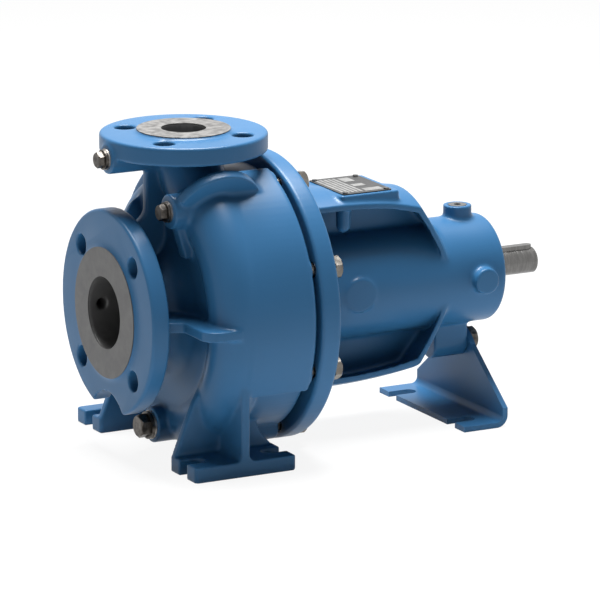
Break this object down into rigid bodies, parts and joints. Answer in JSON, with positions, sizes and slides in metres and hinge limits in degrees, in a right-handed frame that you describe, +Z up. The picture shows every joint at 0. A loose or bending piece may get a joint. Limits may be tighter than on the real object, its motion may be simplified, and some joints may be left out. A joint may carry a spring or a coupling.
{
  "type": "volute casing centrifugal pump",
  "caption": "End suction volute pump with a bare shaft: painted spiral casing on feet, closed impeller, shaft seal, bearing bracket and a bent support foot.",
  "frame": {"origin": "on the base plane, straight under the centre of the discharge flange and the middle of the casing feet", "axes": "+X along the shaft towards the drive end, +Z up, -Y the near side of the picture"},
  "size_m": [0.4465, 0.264, 0.292],
  "materials": {
    "cast_paint": "satin blue paint on cast iron, bare machined flange faces",
    "sheet_paint": "satin blue paint on bent steel sheet",
    "bare_iron": "machined grey cast iron",
    "machined_steel": "turned steel with a faint stain",
    "bolt_steel": "zinc plated, dulled",
    "dark_steel": "dark oiled steel",
    "bearing_steel": "ground and polished",
    "cage_brass": "machined brass",
    "seal_ring": "carbon and ceramic seal faces",
    "seal_rubber": "black nitrile rubber",
    "gasket_sheet": "fibre sheet gasket",
    "sealing_copper": "soft metal sealing ring",
    "plate_metal": "dark printed aluminium with plain pale bars"
  },
  "bodies": {
    "root": {"casing": "cast_paint", "casing_cover": "bare_iron", "casing_gasket": "gasket_sheet", "wear_ring": "bare_iron", "seal_seat": "seal_ring", "housing_circlip": "dark_steel", "pump_side_lip_seal": "seal_rubber", "drive_side_lip_seal": "seal_rubber", "bearing_bracket": "cast_paint", "filler_plug": "machined_steel", "name_plate": "plate_metal", "name_plate_screws": "machined_steel", "cover_bolts": "bolt_steel", "support_foot": "sheet_paint", "support_foot_bolt": "dark_steel", "support_foot_washer": "dark_steel", "drain_plug": "dark_steel", "drain_plug_ring": "sealing_copper", "gauge_plugs": "dark_steel", "gauge_plug_rings": "sealing_copper", "suction_gauge_plug": "dark_steel", "pump_side_bearing_outer_ring": "bearing_steel", "drive_side_bearing_outer_ring": "bearing_steel"},
    "rotor": {"shaft": "machined_steel", "impeller": "bare_iron", "impeller_key": "machined_steel", "impeller_washer": "machined_steel", "impeller_nut": "machined_steel", "coupling_key": "machined_steel", "seal_face": "seal_ring", "seal_collar": "machined_steel", "seal_spring": "machined_steel", "pump_side_bearing_inner_ring": "bearing_steel", "drive_side_bearing_inner_ring": "bearing_steel", "shaft_circlip": "dark_steel", "deflector": "seal_rubber"},
    "pump_side_ball_set": {"pump_side_bearing_balls": "bearing_steel", "pump_side_bearing_cage": "cage_brass"},
    "drive_side_ball_set": {"drive_side_bearing_balls": "bearing_steel", "drive_side_bearing_cage": "cage_brass"}
  },
  "joints": [
    {"name": "rotor_spin", "type": "hinge", "parent": "root", "child": "rotor", "pos_m": [0, 0, 0.132], "axis": [1, 0, 0], "continuous": true},
    {"name": "pump_side_ball_spin", "type": "hinge", "parent": "root", "child": "pump_side_ball_set", "pos_m": [0.1595, 0, 0.132], "axis": [1, 0, 0], "continuous": true},
    {"name": "drive_side_ball_spin", "type": "hinge", "parent": "root", "child": "drive_side_ball_set", "pos_m": [0.2655, 0, 0.132], "axis": [1, 0, 0], "continuous": true}
  ],
  "couplings": [
    {"joint": "pump_side_ball_spin", "follows": "rotor_spin", "ratio": 0.3794},
    {"joint": "drive_side_ball_spin", "follows": "rotor_spin", "ratio": 0.3794}
  ]
}
